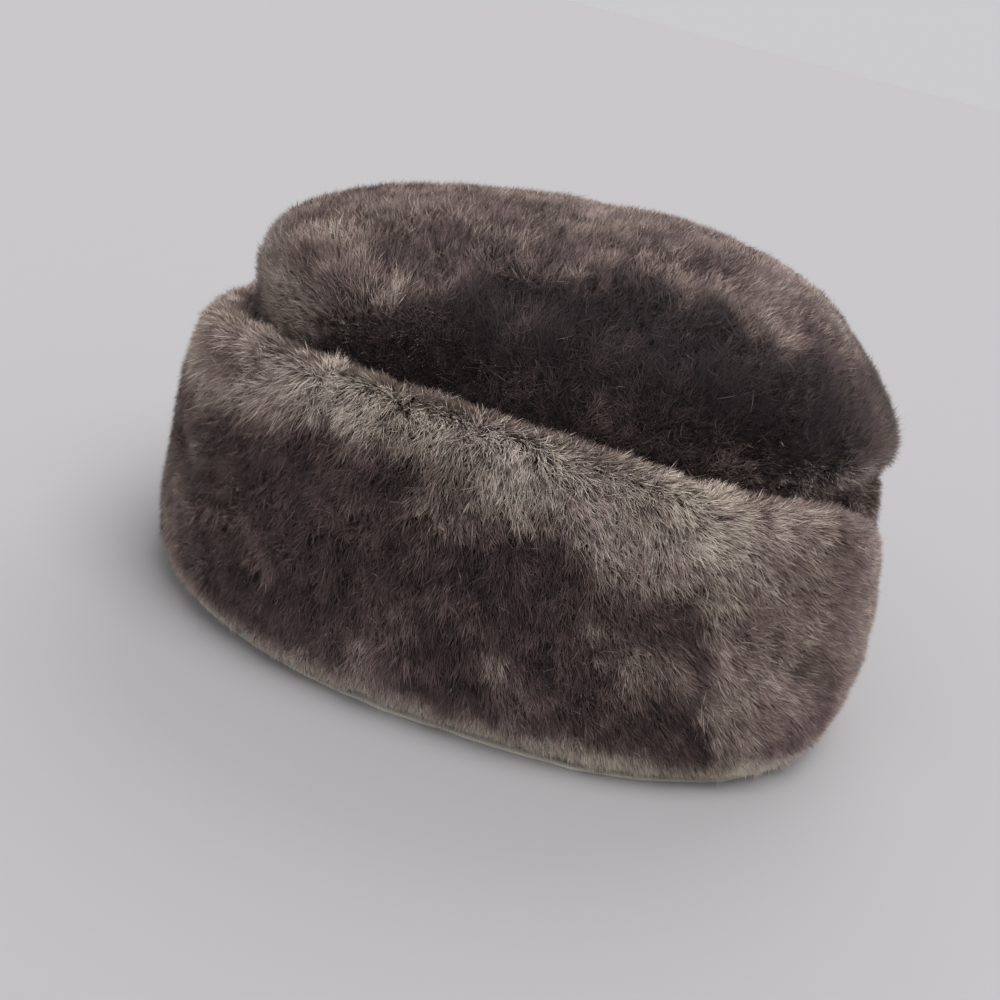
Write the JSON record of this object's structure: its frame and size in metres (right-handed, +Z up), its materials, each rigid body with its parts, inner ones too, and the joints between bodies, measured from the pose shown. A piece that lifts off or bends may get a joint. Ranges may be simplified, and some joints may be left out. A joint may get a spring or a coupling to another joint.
{
  "type": "fur hat",
  "caption": "Soft faux fur winter hat: a puffed oval crown set in a deep turned-up cuff with a V notch at the back and a thin lining edge.",
  "frame": {"origin": "centre of the bounding box's floor face, on the plane the rim rests on", "axes": "+Z up; the hat's front faces -Y; the wearer's left is +X; +Y runs from the front to the back"},
  "size_m": [0.2226, 0.2585, 0.1523],
  "materials": {
    "crown_fur": "short sheared plush pile, dark brown-grey with lighter tips",
    "cuff_fur": "short sheared plush pile, dark brown-grey with beige-grey tips",
    "lining_cloth": "thin woven lining, pale grey-green"
  },
  "bodies": {
    "root": {"crown": "crown_fur", "cuff": "cuff_fur", "lining": "lining_cloth"}
  },
  "joints": []
}
